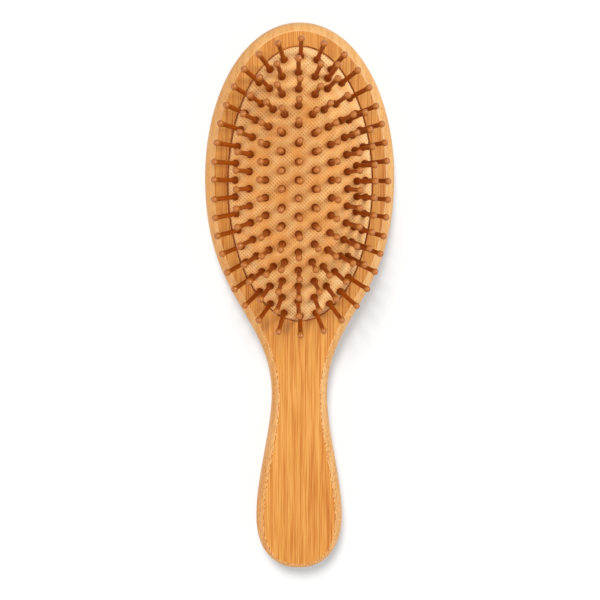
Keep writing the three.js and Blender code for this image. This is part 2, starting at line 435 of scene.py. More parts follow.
def write_mesh(shape: Shape, mesh: Mesh, sharp_degrees: float) -> None:
    """Ends a shape as a mesh with its normals outward, smooth apart from its sharp edges.

    Args:
        shape: The shape, which is used up.
        mesh: The mesh that takes it.
        sharp_degrees: How far the faces turn at a sharp edge.
    """
    bmesh.ops.recalc_face_normals(shape, faces=shape.faces)
    shape.normal_update()
    for face in shape.faces:
        face.smooth = True
    for edge in shape.edges:
        edge.smooth = len(edge.link_faces) == 2 and edge.calc_face_angle(0) < math.radians(sharp_degrees)
    shape.to_mesh(mesh)
    shape.free()


def ordered_loop(edges: Iterable[bmesh.types.BMEdge]) -> list[bmesh.types.BMVert]:
    """Puts the points of a closed run of edges in order.

    Args:
        edges: The edges in any order.

    Returns:
        The points, from the one furthest to the right.
    """
    beside: dict[bmesh.types.BMVert, list] = {}
    for edge in edges:
        for vert in edge.verts:
            beside.setdefault(vert, []).append(edge.other_vert(vert))
    start = max(beside, key=lambda vert: vert.co.x)
    loop = [start, beside[start][0]]
    while loop[-1] is not start:
        before, here = loop[-2:]
        loop.append(next(vert for vert in beside[here] if vert is not before))
    return loop[:-1]


def even_turns(count: int) -> list[float]:
    """Angles at even steps of a full turn."""
    return [2 * math.pi * i / count for i in range(count)]


def even_steps(line: Points, count: int) -> Points:
    """Sets points at even steps along a flat line.

    Args:
        line: The line's own points.
        count: How many steps.

    Returns:
        The new points.
    """
    flat = np.array(line)
    lengths = np.concatenate([[0], np.cumsum(np.linalg.norm(np.diff(flat, axis=0), axis=1))])
    at = np.linspace(0, lengths[-1], count + 1)
    return [Vector(point) for point in zip(*(np.interp(at, lengths, flat[:, axis]) for axis in (0, 1)))]


def bent(value: float, roundness: float) -> float:
    """A sine or cosine bent from a circle's to a superellipse's."""
    return math.copysign(abs(value) ** (2 / roundness), value)


def smoothstep(value: float, low: float, high: float) -> float:
    """Smooth rise from 0 at low to 1 at high."""
    share = min(1.0, max(0.0, (value - low) / (high - low)))
    return share * share * (3 - 2 * share)


# Finishes


class Wood(Enum):
    """The finishes of the brush's pieces, by the record's material slots."""

    BOARD = "bamboo"
    CLOTH = "cushion_cloth"
    PIN = "pin_wood"


class Mark(Enum):
    """Where a face of the board lies, kept on its mesh as its band."""

    FLAT = 0.0
    SIDE = 0.7
    BAND = 1.0
    ARRIS = 2.0


@dataclass(frozen=True)
class BambooFinish:
    """Laminated bamboo: long fibres of several widths, glued strips and a paler rounded edge, with a painted
    highlight along the arris.
    """

    pale: Colour = (0.78, 0.385, 0.100, 1)
    middle: Colour = (0.68, 0.270, 0.044, 1)
    deep: Colour = (0.49, 0.140, 0.015, 1)
    edge: Colour = (0.80, 0.425, 0.142, 1)
    # arris: paler streaks in the band, and the colour of a painted highlight along the arris
    arris: Colour = (0.90, 0.58, 0.28, 1)
    stain: Colour = (0.36, 0.13, 0.035, 1)
    strip: Sizes = (2.4 * MM, 120 * MM, 6 * MM)
    fibre: Sizes = (0.36 * MM, 45 * MM, 0.8 * MM)
    hair: Sizes = (0.19 * MM, 16 * MM, 0.3 * MM)
    cloud: Sizes = (14 * MM, 40 * MM, 12 * MM)
    fleck: Sizes = (0.45 * MM, 1.5 * MM, 0.45 * MM)
    tones: Pair = (0.56, 0.87)
    handle_start: Pair = (5 * MM, -25 * MM)
    stain_places: tuple[Pair, ...] = ((-6.3 * MM, -9.0 * MM), (-15.3 * MM, -8.0 * MM))
    stain_reach: Pair = (2.8 * MM, 5.2 * MM)
    fibre_depth: float = 0.05 * MM

    def material(self) -> Material:
        """Builds the material.

        Returns:
            The board's finish.
        """
        tree = SurfaceTree(Wood.BOARD.value)
        place = tree.place()
        band = tree.attribute("band")
        strips, hairs, clouds, flecks = (
            tree.grain(place, sizes) for sizes in (self.strip, self.hair, self.cloud, self.fleck)
        )
        fibres = tree.grain(place, self.fibre, 2.0, 0.6)
        tone = tree.ramp(strips * 0.22 + fibres * 0.54 + hairs * 0.50 + clouds * 0.16, *self.tones)
        colour = tree.blend(tone * 2, self.deep, self.middle)
        colour = tree.blend(tone * 2 - 1, colour, self.pale)
        line = tree.ramp(fibres, 0.60, 0.72) * tree.ramp(clouds, 0.38, 0.62)
        colour = tree.blend(line * 0.3, colour, self.deep)
        colour = tree.blend(tree.ramp(hairs, 0.55, 0.72) * 0.4, colour, self.pale)
        handle = tree.ramp(tree.parts(place)[1], *self.handle_start)
        edge = tree.blend(tree.ramp(flecks, 0.46, 0.60) * (0.4 + handle * 0.25), self.edge, self.deep)
        edge = tree.blend(tree.ramp(strips, 0.35, 0.65) * 0.4, edge, self.arris)
        colour = tree.blend(tree.math("MINIMUM", band, Mark.BAND.value) * 0.8, colour, edge)
        at_border = tree.ramp(band, Mark.BAND.value, Mark.ARRIS.value)
        dash = tree.ramp(flecks, 0.46, 0.52) * handle
        # Painted highlight along the arris, where the rounded edge meets the face.
        colour = tree.blend(at_border * 0.32, colour, self.arris)
        colour = tree.blend(at_border * dash * 0.9, colour, self.deep)
        colour = tree.blend(self._stains(tree, place, fibres), colour, self.stain)
        return tree.finish({
            "Base Color": colour,
            "Roughness": 0.42 + fibres * 0.16,
            "Normal": tree.bump(fibres * 0.5 + hairs * 0.3, self.fibre_depth, 0.5),
            "Specular IOR Level": 0.35,
        })

    def _stains(self, tree: SurfaceTree, place: Socket, fibres: Socket) -> Socket:
        """Faint dark streaks in the wood below the cushion.

        Args:
            tree: The material's nodes.
            place: The point on the piece.
            fibres: The noise of the fibres, which the streaks follow.

        Returns:
            How dark each point is, from 0 to 1.
        """
        x, y, _ = tree.parts(place)
        marks: Operand = 0.0
        for stain_x, stain_y in self.stain_places:
            across = (x - stain_x) / self.stain_reach[0]
            along = (y - stain_y) / self.stain_reach[1]
            marks = tree.ramp(across * across + along * along, 1.0, 0.0) + marks
        return marks * tree.ramp(fibres, 0.38, 0.58) * 0.8


@dataclass(frozen=True)
class ClothFinish:
    """Cream cloth with a fine slanting weave, with painted light that makes it paler towards the rim and
    painted shade round each pin.
    """

    dome: "Dome"
    thread: Colour = (0.99, 0.60, 0.250, 1)
    shade: Colour = (0.96, 0.48, 0.150, 1)
    # Colour of the painted shade round each pin.
    painted_pin_shade: Colour = (0.88, 0.33, 0.060, 1)
    hole: Colour = (0.60, 0.19, 0.026, 1)
    # Colour of the painted light towards the rim.
    rim: Colour = (1.0, 0.70, 0.36, 1)
    rib_pitch: float = 1.12 * MM
    cross_pitch: float = 1.3 * MM
    wander: float = 0.7 * MM
    wander_size: float = 16 * MM
    patch: float = 7 * MM
    tone_size: float = 9 * MM
    fuzz: float = 0.25 * MM
    pucker: float = 2.6 * MM
    pin_shade_reach: Pair = (2.9 * MM, 0.2 * MM)
    pin_shade_wander: float = 2.4 * MM
    depth: float = 0.16 * MM

    def material(self) -> Material:
        """Builds the material.

        Returns:
            The cushion's finish.
        """
        tree = SurfaceTree(Wood.CLOTH.value)
        place = tree.place()
        x, y, _ = tree.parts(place)
        wander = (tree.noise(place, self.wander_size, 1.0) - 0.5) * self.wander
        diagonal = 2 * math.pi / math.sqrt(2)
        ribs = tree.math("COSINE", (x + y + wander) * (diagonal / self.rib_pitch))
        cross = tree.math("COSINE", (x - y + wander) * (diagonal / self.cross_pitch))
        patches = tree.noise(place, self.patch)
        dashes = tree.ramp(ribs, -0.05, 0.9) * (0.3 + tree.ramp(cross, -0.6, 0.6) * 0.7)
        dots = tree.ramp(ribs, 0.2, 0.9) * tree.ramp(cross, -0.7, 0.5) * tree.ramp(patches, 0.35, 0.6)
        dark = (dashes * 0.5 + dots * 0.3) * (0.5 + tree.ramp(patches, 0.32, 0.62) * 0.5)
        tone = tree.noise(place, self.tone_size)
        colour = tree.blend(tree.ramp(tone, 0.35, 0.72), self.thread, self.shade)
        across, along = x / self.dome.half_width, (y - self.dome.centre_y) / self.dome.half_length
        # Painted light: paler towards the rim, which leaves the middle among the pins darker.
        outer = tree.ramp(across * across + along * along + (patches - 0.5) * 0.5, 0.35, 1.0)
        colour = tree.blend(outer * 0.7, colour, self.rim)
        # Painted shade round each pin, deepest at its foot and wandering with the patches.
        gap = tree.attribute("pin_gap") + (patches - 0.5) * self.pin_shade_wander
        colour = tree.blend(tree.ramp(gap, *self.pin_shade_reach) * 0.55, colour, self.painted_pin_shade)
        colour = tree.blend(dark, colour, self.hole)
        height = tree.noise(place, self.fuzz) * 0.15 - dark * 0.35 + tree.noise(place, self.pucker, 1.0) * 1.6
        return tree.finish({
            "Base Color": colour,
            "Roughness": 0.86 - dark * 0.05,
            "Normal": tree.bump(height, self.depth, 0.9),
            "Sheen Weight": 0.1,
            "Sheen Roughness": 0.5,
            "Specular IOR Level": 0.15,
        })


@dataclass(frozen=True)
class PinFinish:
    """Turned hardwood, darker at its foot, with a polished ball that is painted paler towards its top, which
    leaves painted shade round its rim, and a painted highlight at its tip. Each pair is a run of height.
    """

    foot: Colour = (0.23, 0.044, 0.001, 1)
    shaft: Colour = (0.42, 0.084, 0.003, 1)
    ball: Colour = (0.41, 0.108, 0.008, 1)
    # tip: colour of the painted highlight at the ball's tip
    tip: Colour = (0.54, 0.185, 0.028, 1)
    foot_run: Pair = (0.5 * MM, 5 * MM)
    painted_ball_shading_run: Pair = (13.2 * MM, 15.0 * MM)
    tip_highlight_run: Pair = (14.6 * MM, 15.3 * MM)
    polish_run: Pair = (14.4 * MM, 15.1 * MM)
    pore: Sizes = (0.35 * MM, 0.35 * MM, 4 * MM)
    pore_depth: float = 0.02 * MM

    def material(self) -> Material:
        """Builds the material.

        Returns:
            The pins' finish.
        """
        tree = SurfaceTree(Wood.PIN.value)
        local = tree.attribute("pin_place", "Vector")
        tone = tree.attribute("pin_tone")
        _, _, rise = tree.parts(local)
        pores = tree.grain(tree.math("ADD", local, tree.vector(tone, tone, tone)), self.pore, 2.0)
        colour = tree.blend(tree.ramp(rise, *self.foot_run), self.foot, self.shaft)
        # Painted light: the ball paler towards its top, which leaves painted shade round its rim.
        colour = tree.blend(tree.ramp(rise, *self.painted_ball_shading_run), colour, self.ball)
        colour = tree.blend(tree.ramp(pores, 0.45, 0.75) * 0.40, colour, self.foot)
        colour = tree.blend(tree.ramp(tone, 0.2, 1.0) * 0.2, colour, self.ball)
        # Painted highlight at the ball's tip.
        colour = tree.blend(tree.ramp(rise, *self.tip_highlight_run) * 0.5, colour, self.tip)
        return tree.finish({
            "Base Color": colour,
            "Roughness": 0.32 + pores * 0.16,
            "Normal": tree.bump(pores, self.pore_depth, 0.4),
            "Specular IOR Level": 0.1,
            "Coat Weight": 0.05 + tree.ramp(rise, *self.polish_run) * 0.6,
            "Coat Roughness": 0.2,
        })


# Sub-assemblies


@dataclass(frozen=True)
class Dome:
    """The crowned outside of the air cushion over the board's plan."""

    half_width: float
    half_length: float
    centre_y: float
    edge_z: float
    crown: float
    fullness: float = 3.4
    edge_fullness: float = 0.94

    @classmethod
    def from_frame(cls) -> "Dome":
        """Reads the dome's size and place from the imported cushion.

        Returns:
            The dome, without the bead round it.
        """
        low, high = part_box("cushion_pad")
        bead_stand = PAD_GAP + BEAD_REACH
        edge_z = low.z + BEAD_FLOOR_DROP
        half = (high - low) / 2
        return cls(half.x - bead_stand, half.y - bead_stand, (low.y + high.y) / 2, edge_z, high.z - edge_z)

    def height_over(self, tree: Tree, x: Socket, y: Socket) -> tuple[Socket, Socket]:
        """Height and normal of the dome over a place, as fields.

        Args:
            tree: The tree that takes the nodes.
            x: Place across the brush.
            y: Place along the brush.

        Returns:
            The height over the origin, and the normal without its length.
        """
        across = x / self.half_width
        along = (y - self.centre_y) / self.half_length
        share = tree.math("MINIMUM", (across * across + along * along) ** 0.5, 1.0)
        left = tree.math("MAXIMUM", 1 - share ** self.fullness, 1e-4)
        rise = left ** self.edge_fullness * self.crown
        steepness = self.edge_fullness * self.fullness
        fall = rise * steepness * tree.math("MAXIMUM", share, 1e-3) ** (self.fullness - 2) / left
        normal = tree.vector(fall * across / self.half_width, fall * along / self.half_length, 1.0)
        return rise + self.edge_z, normal

    def share_of(self, points: np.ndarray) -> np.ndarray:
        """How far each point lies from the dome's middle, as a share of the way to its rim."""
        return np.hypot(points[:, 0] / self.half_width, (points[:, 1] - self.centre_y) / self.half_length)

    def wall(self, outset: float, z: float, count: int) -> Points:
        """Makes an oval row at one height.

        Args:
            outset: How far it stands out from the dome's edge.
            z: Its height.
            count: How many points it has.

        Returns:
            The points, anticlockwise from +X.
        """
        half_width, half_length = self.half_width + outset, self.half_length + outset
        return [
            Vector((half_width * math.cos(turn), self.centre_y + half_length * math.sin(turn), z))
            for turn in even_turns(count)
        ]


@dataclass
class Board:
    """The bamboo board: head and handle in one, with the oval recess that holds the cushion."""

    dome: Dome
    crown_to_widest: float = 68.2 * MM
    widest_to_neck: float = 96 * MM
    neck_width: float = 25.2 * MM
    neck_to_grip: float = 57.3 * MM
    grip_width: float = 39.6 * MM
    crown_roundness: float = 2.05
    end_roundness: float = 2.25
    head_pulls: Pair = (0.55, 0.38)
    handle_pulls: Pair = (0.3, 0.3)
    head_band: float = 3.9 * MM
    grip_band: float = 3.1 * MM
    end_band: float = 2.8 * MM
    band_depth: float = 5.5 * MM
    band_bend: Pair = (0.08, 0.28)
    back_round: float = 3 * MM
    back_round_depth: float = 3.5 * MM
    arris: float = 0.45 * MM
    recess_depth: float = 9 * MM
    recess_round: float = 0.25 * MM
    groove_depth: float = 1.8 * MM
    lip: float = 1.6 * MM
    groove_height: float = 2.6 * MM
    steps: int = 220
    recess_steps: int = 240
    back_steps: int = 6
    band_steps: int = 10
    sharp_degrees: float = 32

    def __post_init__(self) -> None:
        """Reads the board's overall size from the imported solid."""
        low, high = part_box("paddle_body")
        self.end_y = low.y
        self.crown_y = high.y
        self.thickness = high.z
        self.widest = Vector(((high.x - low.x) / 2, high.y - self.crown_to_widest))
        self.neck = Vector((self.neck_width / 2, self.widest.y - self.widest_to_neck))
        self.grip = Vector((self.grip_width / 2, self.neck.y - self.neck_to_grip))

    def outline(self) -> Points:
        """Draws the board's outline seen from the face.

        Returns:
            Points at even steps, clockwise from the crown.
        """
        right = self._quarter(self.widest, self.crown_to_widest, self.crown_roundness)
        right += self._sweep(self.widest, self.neck, self.head_pulls)[1:]
        right += self._sweep(self.neck, self.grip, self.handle_pulls)[1:]
        right += self._quarter(self.grip, self.end_y - self.grip.y, self.end_roundness)[-2::-1]
        right = even_steps(right, self.steps)
        return right + [Vector((-point.x, point.y)) for point in reversed(right[1:-1])]

    @staticmethod
    def _quarter(widest: Vector, reach: float, roundness: float) -> Points:
        """Draws a quarter of a superellipse.

        Args:
            widest: Its widest place.
            reach: How far its tip lies along the brush from there.
            roundness: The power of its curve, 2 for an ellipse.

        Returns:
            The points, from the tip to the widest place.
        """
        turns = [math.pi / 2 * i / CURVE_STEPS for i in range(CURVE_STEPS + 1)]
        across = [widest.x * bent(math.sin(turn), roundness) for turn in turns]
        along = [widest.y + reach * bent(math.cos(turn), roundness) for turn in turns]
        return [Vector(point) for point in zip(across, along)]

    @staticmethod
    def _sweep(start: Vector, end: Vector, pulls: Pair) -> Points:
        """Draws a curve that leaves its start and reaches its end along the brush.

        Args:
            start: Its first point.
            end: Its last point.
            pulls: How far it holds that direction at each end, as shares of its length.

        Returns:
            The points.
        """
        length = start.y - end.y
        handles = (start - Vector((0, length * pulls[0])), end + Vector((0, length * pulls[1])))
        return [
            (1 - t) ** 3 * start + 3 * (1 - t) ** 2 * t * handles[0]
            + 3 * (1 - t) * t ** 2 * handles[1] + t ** 3 * end
            for t in (i / CURVE_STEPS for i in range(CURVE_STEPS + 1))
        ]

    def band_width(self, y: float) -> float:
        """Works out the width of the rounded band between face and side.

        Args:
            y: The place along the brush.

        Returns:
            The width there.
        """
        down_handle = smoothstep(-y, -self.widest.y, -self.neck.y)
        to_end = smoothstep(-y, -self.grip.y, self.crown_y)
        on_handle = self.head_band + (self.grip_band - self.head_band) * down_handle
        return on_handle + (self.end_band - on_handle) * to_end

    def rows(self) -> list[tuple[Mark, Points]]:
        """Sets out the rows of the skin, from the flat of the back to the face.

        Returns:
            The mark of the strip below each row, and the row's points.
        """
        outline = self.outline()
        ahead, behind = outline[1:] + outline[:1], outline[-1:] + outline[:-1]
        inward = [Vector((a.y - b.y, b.x - a.x)).normalized() for a, b in zip(ahead, behind)]
        widths = [self.band_width(point.y) for point in outline]
        rows = []

        def add(mark: Mark, z: float, inset: float, band_share: float = 0.0) -> None:
            """Adds the outline at one height, moved in by an inset and a share of the band."""
            moved = [p + way * (inset + width * band_share) for p, way, width in zip(outline, inward, widths)]
            rows.append((mark, [Vector((point.x, point.y, z)) for point in moved]))

        add(Mark.SIDE, 0.0, self.back_round + self.arris)
        for i in reversed(range(self.back_steps + 1)):
            turn = math.pi / 2 * i / self.back_steps
            rise, inset = 1 - math.sin(turn), 1 - math.cos(turn)
            add(Mark.SIDE, self.back_round_depth * rise, self.back_round * inset)
        for i in range(self.band_steps + 1):
            t = i / self.band_steps
            drop = (1 - t) ** 2 + 2 * t * (1 - t) * self.band_bend[1]
            inset_share = 2 * t * (1 - t) * self.band_bend[0] + t * t
            add(Mark.BAND if i else Mark.SIDE, self.thickness - drop * self.band_depth, 0.0, inset_share)
        add(Mark.ARRIS, self.thickness, self.arris, 1.0)
        add(Mark.FLAT, self.thickness, 2 * self.arris, 1.0)
        return rows

    def recess_rows(self) -> list[Points]:
        """Sets out the rows of the recess.

        Returns:
            The rows, from the edge of the face down to the floor.
        """
        top = self.thickness
        groove_top = top - self.lip
        groove_floor = groove_top - self.groove_height
        small, full = self.recess_round * 0.3, self.recess_round
        steps = [
            (2 * full, top), (full, top), (small, top - small), (0, top - full),
            (0, groove_top), (self.groove_depth, groove_top), (self.groove_depth, groove_floor),
            (0, groove_floor), (0, top - self.recess_depth),
        ]
        return [self.dome.wall(PAD_GAP + out, z, self.recess_steps) for out, z in steps]

    def build(self, material: Material) -> Piece:
        """Makes the board's piece.

        Args:
            material: Its finish.

        Returns:
            The piece.
        """
        shape = bmesh.new()
        band = shape.faces.layers.float.new("band")
        marks, rows = zip(*self.rows())
        skin, strips = loft(shape, rows)
        recess, _ = loft(shape, self.recess_rows())
        for mark, strip in zip(marks[1:], strips):
            for face in strip:
                face[band] = mark.value
        shape.faces.new(recess[-1])
        shape.faces.new(skin[0])
        rim = [edge for edge in shape.edges if len(edge.link_faces) == 1]
        bmesh.ops.triangle_fill(shape, use_beauty=True, edges=rim, normal=Vector((0, 0, 1)))
        mesh = bpy.data.meshes.new("bamboo_board")
        write_mesh(shape, mesh, self.sharp_degrees)
        mesh.materials.append(material)
        return placed("bamboo_board", mesh)


class RowShape(Enum):
    """How the pins of a row lie."""

    RING = "ring"
    LINE = "line"


@dataclass(frozen=True)
class PinRow:
    """One row of pins on one body. Pins stand at the places from first to last and at the one alone."""

    body: str
    shape: RowShape
    steps: int
    seed: int
    inset: float
    squareness: float = 2.0
    shift: float = 0.0
    first: int = 0
    last: int = 99
    alone: int = -1


@dataclass
class Pins:
    """The turned pins in their rows, standing square on the cushion."""

    dome: Dome
    pattern_shift: float = 1 * MM
    outer_inset: float = 3.8 * MM
    ring_pitch: float = 6.95 * MM
    side_row_inset: float = 3.75 * MM
    inner_rows_shift: float = 0.9 * MM
    line_end_gap: float = 7.95 * MM
    ball: float = 1.5 * MM
    reach: float = 15.3 * MM
    shaft: float = 1.0 * MM
    collar: float = 1.7 * MM
    stem: float = 0.75 * MM
    head: float = 1.6 * MM
    sides: int = 12
    ball_steps: int = 5
    sharp_degrees: float = 60
    lean: float = 0.022
    lean_seed: int = 50
    turn_seed: int = 90
    ring_fineness: int = 512

    def rows(self) -> list[PinRow]:
        """Lists the six rows.

        Returns:
            The rows, from the middle outwards.
        """
        inset = [self.outer_inset + self.ring_pitch * ring for ring in range(4)]
        left = -self.inner_rows_shift
        ring, line = RowShape.RING, RowShape.LINE
        return [
            PinRow("centre_line", line, 8, 11, inset[3] + self.line_end_gap, shift=left),
            PinRow("inner_ring", ring, 20, 12, inset[3], 4.8, left),
            PinRow("second_ring", ring, 26, 13, inset[2], 2.8, left),
            PinRow("third_ring", ring, 32, 14, inset[1], 2.3, left),
            PinRow("side_row", ring, 38, 15, inset[0] + self.side_row_inset, 2.1, 0.0, 5, 14, 2),
            PinRow("outer_ring", ring, 38, 16, inset[0], 2.1),
        ]

    def profile(self) -> list[Pair]:
        """Sets out the turned profile.

        Returns:
            Radii and heights, from the head behind the rubber to the ball's top.
        """
        neck = self.reach - math.sqrt(self.ball ** 2 - self.shaft ** 2)
        start = math.asin(self.shaft / self.ball)
        turns = [start + (math.pi - start) * i / self.ball_steps for i in range(1, self.ball_steps)]
        ball = [(self.ball * math.sin(turn), self.reach - self.ball * math.cos(turn)) for turn in turns]
        return [
            (0, -2.9 * MM), (self.head, -2.9 * MM), (self.head, -2.3 * MM), (self.stem, -2.0 * MM),
            (self.stem, -0.1 * MM), (self.collar * 0.80, 0.0), (self.collar * 0.98, 0.35 * MM),
            (self.collar, 0.8 * MM), (self.collar * 0.90, 1.35 * MM), (self.shaft * 1.15, 2.1 * MM),
            (self.shaft, 3.0 * MM), (self.shaft * 0.96, 8.0 * MM), (self.shaft, neck),
            *ball, (0, self.reach + self.ball),
        ]

    def pattern(self) -> Piece:
        """Makes the upright pin that the rows repeat.

        Returns:
            The pin, with its own place kept on its mesh.
        """
        shape = bmesh.new()
        loft(shape, [
            [Vector((radius * math.cos(turn), radius * math.sin(turn), height))
             for turn in even_turns(self.sides if radius else 1)]
            for radius, height in self.profile()
        ])
        mesh = bpy.data.meshes.new("pin_pattern")
        write_mesh(shape, mesh, self.sharp_degrees)
        local = mesh.attributes.new("pin_place", "FLOAT_VECTOR", "POINT")
        local.data.foreach_set("vector", coordinates(mesh).ravel())
        return placed("pin_pattern", mesh)

    def build_row(self, row: PinRow, pattern: Piece, material: Material) -> Piece:
        """Makes one row of pins.

        Args:
            row: Which row.
            pattern: The pin that is repeated.
            material: Its finish.

        Returns:
            The row as one piece.
        """
        recipe = Recipe(f"{row.body}_places")
        half_width = recipe.take("Half Width", self.dome.half_width + PAD_GAP - row.inset)
        half_length = recipe.take("Half Length", self.dome.half_length + PAD_GAP - row.inset)
        centre_y = recipe.take("Centre", self.dome.centre_y - self.pattern_shift)
        if row.shape is RowShape.LINE:
            start = recipe.vector(0.0, centre_y + half_length, 0.0)
            end = recipe.vector(0.0, centre_y - half_length, 0.0)
            ends = {"Start": start, "End": end}
            curve = recipe.out("GeometryNodeCurvePrimitiveLine", {"mode": "POINTS"}, ends)
        else:
            curve = self._ring(recipe, row, (half_width, half_length), centre_y)
        evenly = {"Curve": curve, "Count": recipe.take("Steps", row.steps)}
        curve = recipe.out("GeometryNodeResampleCurve", {"mode": "COUNT"}, evenly)
        curve = recipe.move(curve, Offset=recipe.vector(recipe.take("Shift", row.shift), 0.0, 0.0))
        places = recipe.out("GeometryNodeCurveToPoints", {"mode": "EVALUATED"}, {"Curve": curve})
        kept = {"Geometry": places, "Selection": self._kept(recipe, row)}
        places = recipe.out("GeometryNodeSeparateGeometry", {"domain": "POINT"}, kept)
        pins = self._stand(recipe, places, recipe.take("Seed", row.seed), pattern)
        return recipe.bake(f"turned_{row.body}", pins, material)

    def _ring(self, recipe: Recipe, row: PinRow, half: tuple[Socket, Socket], centre_y: Socket) -> Socket:
        """Draws a superellipse from its crown end.

        Args:
            recipe: The tree that takes the nodes.
            row: The row that follows it.
            half: Half its width and half its length.
            centre_y: Its middle along the brush.

        Returns:
            The curve.
        """
        squareness = recipe.take("Squareness", row.squareness)
        inputs = {"Resolution": self.ring_fineness}
        circle = recipe.out("GeometryNodeCurvePrimitiveCircle", {"mode": "RADIUS"}, inputs)
        turn = recipe.out("GeometryNodeInputIndex") * (2 * math.pi / self.ring_fineness)

        def bent_wave(operation: str) -> Socket:
            """Sine or cosine of the turn, bent to the ring's squareness."""
            value = recipe.math(operation, turn)
            return recipe.math("SIGN", value) * recipe.math("ABSOLUTE", value) ** (2 / squareness)

        x, y = bent_wave("SINE") * half[0], bent_wave("COSINE") * half[1] + centre_y
        return recipe.move(circle, Position=recipe.vector(x, y, 0.0))

    @staticmethod
    def _kept(recipe: Recipe, row: PinRow) -> Socket:
        """Finds the places that hold a pin.

        Args:
            recipe: The tree that takes the nodes.
            row: The row.

        Returns:
            1 at those places, else 0.
        """
        number = recipe.out("GeometryNodeInputIndex")
        slack = 0.1
        half_run = (row.last - row.first) / 2
        in_run = recipe.math("COMPARE", number, row.first + half_run, half_run + slack)
        return recipe.math("MAXIMUM", in_run, recipe.math("COMPARE", number, row.alone, slack))

    def _stand(self, recipe: Recipe, places: Socket, seed: Socket, pattern: Piece) -> Socket:
        """Stands a pin on the dome at each place, leaning a little at random.

        Args:
            recipe: The tree that takes the nodes.
            places: The points in plan.
            seed: The seed of the row's random values.
            pattern: The pin.

        Returns:
            The pins as instances.
        """
        x, y, _ = recipe.place()
        height, normal = self.dome.height_over(recipe, x, y)
        normal = recipe.math("NORMALIZE", normal)
        kind = "FunctionNodeRandomValue"
        tone = recipe.out(kind, {"data_type": "FLOAT"}, {"Seed": seed})
        bounds = {"Min": (-1, -1, 0), "Max": (1, 1, 0), "Seed": seed + self.lean_seed}
        stray = recipe.out(kind, {"data_type": "FLOAT_VECTOR"}, bounds) * recipe.take("Lean", self.lean)
        turn = recipe.out(kind, {"data_type": "FLOAT"}, {"Max": 2 * math.pi, "Seed": seed + self.turn_seed})
        upright = recipe.out("FunctionNodeAlignRotationToVector", {"axis": "Z"}, {"Vector": normal + stray})
        spin = recipe.out("FunctionNodeAxisAngleToRotation", inputs={"Axis": (0, 0, 1), "Angle": turn})
        turned = {"Rotation": upright, "Rotate By": spin}
        turned = recipe.out("FunctionNodeRotateRotation", {"rotation_space": "LOCAL"}, turned)
        places = recipe.store(places, "pin_tone", "FLOAT", tone)
        places = recipe.store(places, "turned", "QUATERNION", turned)
        places = recipe.move(places, Position=recipe.vector(x, y, height))
        kind = "GeometryNodeInputNamedAttribute"
        rotation = recipe.out(kind, {"data_type": "QUATERNION"}, {"Name": "turned"})
        pins = {"Points": places, "Instance": recipe.shape_of(pattern), "Rotation": rotation}
        return recipe.out("GeometryNodeInstanceOnPoints", inputs=pins)


